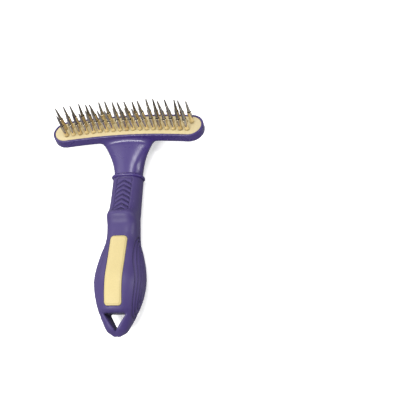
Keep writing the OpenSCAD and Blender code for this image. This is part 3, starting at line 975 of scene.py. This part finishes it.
@dataclass
class Chassis:
    """Head tray, stem, collar bead and tang, moulded in one."""

    layout: Layout
    flare: float = 9.05
    front_rise: float = 2.2
    bead_height: float = 1.4
    bead_sink: float = 0.4
    bead_swell: float = 0.45
    bead_squash: float = 1.17
    wall: float = 1.5
    lip: float = 0.3
    floor: float = -4.2
    back_face: float = -7.5
    back_round: float = 2.6
    rim_round: float = 0.5
    fillet: float = 3.2
    peg_radius: float = 1.15
    peg_bottom: float = -6.13
    stem_weld: float = 0.1
    stem_to: float = 1.24
    stem_end_round: float = 1.5
    bead_blend: float = 0.5
    tray_round: float = 0.35
    tang_half: Pair = (5.5, 3.5)
    tang_corner: float = 0.4
    tang_end_round: float = 0.6
    tang_from: float = 2.0
    tang_to: float = 91.4
    step: float = 0.36
    tang_step: float = 0.8

    def __post_init__(self) -> None:
        """Draws the stem's back line, which rises from the collar into the back of the head."""
        base = -self.layout.stem_front
        self.back_line = Profile((
            (0, base), (0.25, base + 1.4), (0.55, base + 5.6), (0.85, base + 9.8),
            (1.05, base + 11.8), (1.25, base + 14.6),
        ))

    def _stem(self, x: Array, y: Array, z: Array) -> Array:
        """Distance to the flared stem, from the collar to inside the head."""
        layout = self.layout
        share = np.clip(y / layout.stem_length, 0, self.back_line.points[-1][0])
        half = layout.stem_half + self.flare * np.minimum(share, 1) ** 2
        under = (y - layout.head_y) * math.sin(layout.tilt) - self.floor + self.stem_weld
        face = layout.head_rise - under / math.cos(layout.tilt)
        front = layout.stem_front + self.front_rise * share
        front = np.where(y > layout.stem_length, np.minimum(front, face), front)
        shape = Section(half, front, self.back_line.at(share)).distance(x, z)
        past = y - self.stem_to * layout.stem_length
        return smooth_max(np.maximum(shape, -y), past, self.stem_end_round)

    def _bead(self, x: Array, y: Array, z: Array) -> Array:
        """Distance to the half-round collar bead."""
        half = self.layout.stem_half + self.bead_swell
        depth = self.layout.stem_front - self.bead_sink
        ring = Section(half, depth + self.bead_swell, -depth).distance(x, z)
        return np.hypot(np.maximum(ring, 0), y * self.bead_squash) - self.bead_height

    def _head(self, x: Array, across: Array, up: Array) -> Array:
        """Distance to the head block with its rounded back edge and softened rim."""
        side = self.layout.outline(x, across)
        block = round_corner(side, self.back_face - up, self.back_round)
        return round_corner(block, up - self.lip, self.rim_round)

    def shape(self, x: Array, y: Array, z: Array) -> Array:
        """Distance field of the whole chassis but its tang."""
        across, up = self.layout.to_head(y, z)
        skin = smooth_min(self._stem(x, y, z), self._head(x, across, up), self.fillet)
        skin = smooth_min(skin, self._bead(x, y, z), self.bead_blend)
        tray = np.maximum(self.layout.outline(x, across) + self.wall, self.floor - up)
        skin = round_corner(skin, -tray, self.tray_round)
        peg = self.layout.peg_distance(x, across) - self.peg_radius
        return np.maximum(skin, -np.maximum(peg, self.peg_bottom - up))

    def tang(self, x: Array, y: Array, z: Array) -> Array:
        """Distance field of the tang that runs down inside the grip."""
        bar = rounded_box(x, z, *self.tang_half, self.tang_corner)
        bar = round_corner(bar, -self.tang_to - y, self.tang_end_round)
        return round_corner(bar, y - self.tang_from, self.tang_end_round)

    def build(self, place: Matrix, finishes: Finishes) -> Pieces:
        """Meshes and dresses the chassis, with its tang as a coarser part of the same piece.

        Args:
            place: Matrix that lays the handle down.
            finishes: Materials by slot.

        Returns:
            The one piece.
        """
        half = self.layout.head_half + 1
        grid = Mesher((-half, -2.2, -11.0), (half, 48.0, 17.0), self.step)
        points, quads = grid.skin(self.shape)
        wide, deep = self.tang_half[0] + 1, self.tang_half[1] + 1
        low, high = (-wide, -self.tang_to - 1, -deep), (wide, self.tang_from + 1, deep)
        more_points, more_quads = Mesher(low, high, self.tang_step).skin(self.tang)
        quads = np.concatenate([quads, more_quads + len(points)])
        piece = new_piece("head_and_stem", np.concatenate([points, more_points]), quads, place)
        dress(piece, finishes["gloss_purple"], RAKE, "chassis")
        return [piece]


@dataclass
class PinPlate:
    """The yellow plate that holds the pins, and the strip that closes their seats."""

    layout: Layout
    inset: float = 1.55
    thickness: float = 3.2
    edge_round: float = 0.4
    bore: float = 1.63
    countersink: float = 0.35
    seat: float = 2.15
    seat_top: float = -2.08
    peg_radius: float = 1.1
    peg_top: float = -1.0
    peg_bottom: float = -6.08
    step: float = 0.3

    def shape(self, x: Array, across: Array, up: Array) -> Array:
        """Distance field of the plate in the head's own frame."""
        edge = self.layout.outline(x, across) + self.inset
        slab = np.maximum(round_corner(edge, up, self.edge_round), -self.thickness - up)
        peg = self.layout.peg_distance(x, across) - self.peg_radius
        peg = np.maximum(np.maximum(peg, self.peg_bottom - up), up - self.peg_top)
        slab = np.minimum(slab, peg)
        pin = self.layout.seat_distance(x, across)
        hole = np.minimum(pin - self.bore, np.maximum(pin - self.seat, up - self.seat_top))
        return smooth_max(slab, -hole, self.countersink)

    def build(self, place: Matrix, finishes: Finishes) -> Pieces:
        """Meshes and dresses the plate, and dresses the strip behind it.

        Args:
            place: Matrix that lays the handle down.
            finishes: Materials by slot.

        Returns:
            The plate and the strip.
        """
        half = self.layout.head_half
        grid = Mesher((-half, -15.0, -6.5), (half, 10.0, 0.6), self.step)
        points, quads = grid.skin(self.shape)
        points = np.stack(self.layout.on_head(*points.T), 1)
        plate = new_piece("yellow_pin_plate", points, quads, place)
        dress(plate, finishes["yellow_plate"], RAKE, "pin_plate")
        strip = frame["nodes"]["backing_strip"]
        strip.data.materials.clear()
        strip.data.materials.append(finishes["strip_grey"])
        return [plate, strip]


@dataclass
class PinRows:
    """The turned pins: a lathe-turned shape, slightly bent by use, set at each pin's own joint."""

    layout: Layout
    length: float = 21.4
    foot: float = -3.14
    flange_radius: float = 2.0
    flange_thickness: float = 1.0
    barrel_radius: float = 1.55
    barrel_top: float = 10.4
    groove_radius: float = 1.0
    groove_height: float = 0.45
    taper_radius: float = 1.1
    tip_radius: float = 0.45
    soft: float = 0.12
    bevel: float = 0.3
    crease: float = 0.06
    swell: float = 0.05
    groove_lead: float = 0.02
    bevel_steps: int = 4
    dome_steps: int = 6
    sides: int = 28
    sharp_from: float = 40.0
    bend: float = 4.0
    least_share: float = 0.1
    seed: int = 7
    # Each pin takes one of these steels at random; the second is a rougher copy whose darker colour is
    # painted shade for pins that catch less light.
    tones: tuple[str, ...] = ("pin_steel", "pin_steel_painted_shade", "pin_steel")

    def _outline(self) -> list[Pair]:
        """Turned outline from the axis at the foot to the axis at the tip, as (radius, height)."""
        soft, crease, bevel = self.soft, self.crease, self.bevel
        flange, barrel, groove, taper = (
            self.flange_radius, self.barrel_radius, self.groove_radius, self.taper_radius
        )
        top = self.barrel_top
        groove_top = top + self.groove_height
        under = self.foot + self.flange_thickness
        line = [(0.0, self.foot), (flange - soft, self.foot), (flange, self.foot + soft)]
        line += [(flange, under - soft), (flange - soft, under), (barrel, under)]
        line += [(barrel, top * share) for share in (0.0, 0.25, 0.5, 0.75, 0.95)]
        for i in range(self.bevel_steps + 1):
            a = math.pi / 2 * i / self.bevel_steps
            line.append((barrel - bevel + bevel * math.cos(a), top - bevel + bevel * math.sin(a)))
        line += [(groove + crease, top - self.groove_lead), (groove, top + crease)]
        line += [(groove, groove_top - crease), (groove + crease, groove_top)]
        line += [(taper - soft, groove_top), (taper, groove_top + soft)]
        tip_at = self.length - self.tip_radius
        for share in (0.2, 0.4, 0.6, 0.8):
            radius = taper + (self.tip_radius - taper) * share + self.swell * math.sin(math.pi * share)
            line.append((radius, groove_top + (tip_at - groove_top) * share))
        for i in range(self.dome_steps):
            a = math.pi / 2 * i / self.dome_steps
            line.append((self.tip_radius * math.cos(a), tip_at + self.tip_radius * math.sin(a)))
        return line + [(0.0, self.length)]

    def mesh(self, bend: float, way: float) -> bpy.types.Mesh:
        """A pin mesh in metres, foot down and axis on Z, bent over from the plate up.

        Args:
            bend: Angle in degrees that the pin is bent over.
            way: Direction in radians that it is bent towards.

        Returns:
            The mesh.
        """
        line = self._outline()
        points = [(0.0, 0.0, line[0][1] * MM)]
        for radius, height in line[1:]:
            over = max(height, 0.0) * math.tan(math.radians(bend))
            x, y = over * math.cos(way), over * math.sin(way)
            for k in range(self.sides if radius else 1):
                a = 2 * math.pi * k / self.sides
                place = (x + radius * math.cos(a), y + radius * math.sin(a), height)
                points.append(tuple(c * MM for c in place))
        faces = []
        rings = len(line) - 2
        for k in range(self.sides):
            after = (k + 1) % self.sides
            faces.append((0, 1 + after, 1 + k))
            for ring in range(rings - 1):
                low, high = 1 + ring * self.sides, 1 + (ring + 1) * self.sides
                faces.append((low + k, low + after, high + after, high + k))
            last = 1 + (rings - 1) * self.sides
            faces.append((last + k, last + after, len(points) - 1))
        mesh = bpy.data.meshes.new("turned_pin")
        mesh.from_pydata(points, [], faces)
        mesh.validate()
        mesh.shade_smooth()
        mesh.set_sharp_from_angle(angle=math.radians(self.sharp_from))
        return mesh

    def build(self, finishes: Finishes) -> Pieces:
        """Sets one pin at each pin joint, a little bent by use, and dresses it.

        Args:
            finishes: Materials by slot.

        Returns:
            All the pins.
        """
        chance = np.random.default_rng(self.seed)
        pins = []
        for name, joint in JOINTS.items():
            axis = Vector(joint["axis"])
            foot = Vector(joint["pos_m"]) - axis * self.layout.joint_height * MM
            lean = Vector((0, 0, 1)).rotation_difference(axis).to_matrix().to_4x4()
            way = chance.uniform(0, math.tau)
            bend = self.bend * math.sqrt(chance.uniform(self.least_share, 1))
            label = name.removeprefix("spin_")
            tone = self.tones[chance.integers(len(self.tones))]
            pin = add_object(f"turned_pin_{label}", self.mesh(bend, way))
            pin.matrix_world = Matrix.Translation(foot) @ lean
            dress(pin, finishes[tone], joint["child"], f"pin_{label}")
            pins.append(pin)
        return pins


def dress(piece: bpy.types.Object, finish: bpy.types.Material, body: str, node: str) -> None:
    """Gives a piece its finish, parents it to the empty of the CAD body it moves with, and hides the CAD
    node it stands for.

    Args:
        piece: The piece.
        finish: Its material.
        body: The CAD body it moves with.
        node: The CAD node it stands for.
    """
    piece.data.materials.append(finish)
    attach(piece, body)
    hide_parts(node)


# --- Studio ---


@dataclass(frozen=True)
class Lamp:
    """One soft rectangular lamp: where it hangs and points, its width and height, its watts."""

    name: str
    at: Triple
    aim: Triple
    size: Pair
    watts: float

    def hang(self) -> None:
        """Hangs the lamp."""
        data = bpy.data.lights.new(self.name, "AREA")
        data.shape = "RECTANGLE"
        data.size, data.size_y = self.size
        data.energy = self.watts
        lamp = add_object(self.name, data)
        lamp.location = self.at
        way = Vector(self.aim) - Vector(self.at)
        lamp.rotation_euler = way.to_track_quat("-Z", "Y").to_euler()


@dataclass
class Studio:
    """Pale floor, soft lights and the camera, in metres."""

    camera_at: Triple = (0.22091950, -0.18655707, 0.66604243)
    camera_turn: Triple = (16.99100389, 13.72216725, 2.04076067)
    lens: float = 91.0813879
    clip_start: float = 0.01
    floor_half: float = 4.0
    floor_tone: float = 0.93
    floor_roughness: float = 0.9
    floor_specular: float = 0.1
    floor_glow: float = 0.45
    floor_bounce: float = 0.3
    lit_from: Triple = (-0.75, 0.25, 0.61)
    lit_range: Pair = (-0.7, 0.8)
    bright_side: float = 0.83
    dark_side: float = 0.2
    lamps: tuple[Lamp, ...] = (
        Lamp("side_box", (-0.62, 0.48, 0.62), (0, 0, 0.01), (0.8, 0.8), 2.9),
        Lamp("crown_box", (0.14, 0.18, 0.78), (0, 0.04, 0.02), (0.26, 0.15), 1.8),
        Lamp("low_strip", (-0.24, -0.40, 0.58), (0, 0.05, 0.02), (0.32, 0.14), 3.4),
        Lamp("rim_strip", (0.84, 0.08, 0.34), (0, 0.03, 0.02), (0.10, 0.60), 3.0),
    )

    def camera(self) -> None:
        """Sets the camera at the viewing angle."""
        data = bpy.data.cameras.new("camera")
        data.lens = self.lens
        data.clip_start = self.clip_start
        camera = add_object("camera", data)
        camera.location = self.camera_at
        camera.rotation_euler = Euler([math.radians(a) for a in self.camera_turn])
        bpy.context.scene.camera = camera

    def floor(self) -> None:
        """Lays the plain pale floor, which looks brighter than the light it throws back."""
        h = self.floor_half
        mesh = bpy.data.meshes.new("floor")
        mesh.from_pydata([(-h, -h, 0), (h, -h, 0), (h, h, 0), (-h, h, 0)], [], [(0, 1, 2, 3)])
        material, graph, paper = open_material("floor_paper")
        graph.fill(paper, Base_Color=(self.floor_tone,) * 3 + (1,), Roughness=self.floor_roughness)
        graph.fill(paper, Emission_Color=(1, 1, 1, 1), Emission_Strength=self.floor_glow)
        graph.fill(paper, Specular_IOR_Level=self.floor_specular)
        bounce = graph.add("ShaderNodeBsdfDiffuse", Color=(self.floor_bounce,) * 3 + (1,))
        seen = graph.add("ShaderNodeLightPath").outputs["Is Camera Ray"]
        both = graph.add("ShaderNodeMixShader")
        for socket, value in zip(both.inputs, (seen, bounce.outputs[0], paper.outputs[0])):
            graph.feed(socket, value)
        out = next(node for node in graph.tree.nodes if node.type == "OUTPUT_MATERIAL")
        graph.fill(out, Surface=both.outputs[0])
        mesh.materials.append(material)
        add_object("floor", mesh)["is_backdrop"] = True

    def light(self) -> None:
        """Sets the soft surround and the lamps."""
        world = bpy.data.worlds.new("studio")
        world.use_nodes = True
        world.node_tree.nodes.clear()
        graph = Graph(world.node_tree)
        way = graph.add("ShaderNodeTexCoord").outputs["Generated"]
        facing = graph.add("ShaderNodeVectorMath", {"operation": "DOT_PRODUCT"})
        graph.feed(facing.inputs[0], way)
        graph.feed(facing.inputs[1], self.lit_from)
        sides = (self.dark_side, self.bright_side)
        glow = graph.between(facing.outputs["Value"], *self.lit_range, *sides)
        back = graph.add("ShaderNodeBackground", Color=(1, 1, 1, 1), Strength=glow)
        graph.add("ShaderNodeOutputWorld", Surface=back.outputs[0])
        bpy.context.scene.world = world
        for lamp in self.lamps:
            lamp.hang()

    def build(self) -> None:
        """Sets the camera, the floor and the light, and a plain view of the colours."""
        self.camera()
        self.floor()
        self.light()
        bpy.context.scene.view_settings.view_transform = "Standard"


FINISHES = (
    Moulded(
        "gloss_purple", (0.044, 0.025, 0.148), (0.037, 0.020, 0.130), (0.12, 0.09, 0.25), 0.27,
        2400.0, 0.000010, wear=0.40, coat=0.15, coat_roughness=0.12,
    ),
    Moulded(
        "soft_purple", (0.051, 0.033, 0.142), (0.042, 0.026, 0.124), (0.13, 0.10, 0.25), 0.44,
        1900.0, 0.000022, specular=0.40, sheen=0.05,
    ),
    Moulded(
        "yellow_inlay", (0.565, 0.465, 0.218), (0.535, 0.435, 0.198), (0.64, 0.54, 0.32), 0.45,
        1700.0, 0.000018, specular=0.4,
    ),
    Moulded(
        "yellow_plate", (0.635, 0.535, 0.310), (0.605, 0.505, 0.285), (0.71, 0.62, 0.42), 0.38,
        1700.0, 0.000016,
    ),
    Moulded(
        "strip_grey", (0.045, 0.045, 0.05), (0.035, 0.035, 0.04), (0.10, 0.10, 0.11), 0.5,
        1900.0, 0.00002, wear=0.5,
    ),
    # Both pin steels tint the barrel gold as a painted reflection of the yellow plate.
    TurnedSteel("pin_steel", (0.90, 0.80, 0.58), (0.40, 0.39, 0.38), 0.10),
    # A rougher copy of the pin steel; its darker colours are painted shade for pins that catch less
    # light.
    TurnedSteel("pin_steel_painted_shade", (0.74, 0.62, 0.42), (0.26, 0.255, 0.25), 0.14),
)


def main() -> None:
    """Builds the studio and every sub-assembly in order, and reports each piece."""
    logging.basicConfig(level=logging.INFO, format="%(name)s: %(message)s")
    Studio().build()
    layout = Layout()
    place = layout.lay_down()
    effects = Effects()
    finishes = {finish.name: finish.build(effects) for finish in FINISHES}
    pieces = Grip(layout).build(place, finishes)
    pieces += Chassis(layout).build(place, finishes)
    pieces += PinPlate(layout).build(place, finishes)
    pieces += PinRows(layout).build(finishes)
    for piece in pieces:
        LOG.info("%s: %d faces", piece.name, len(piece.data.polygons))
    boxes = {"cad": CAD_BOX, "visual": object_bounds()}
    {key: [list(corner) for corner in box] for key, box in boxes.items()}


if __name__ == "__main__":
    main()
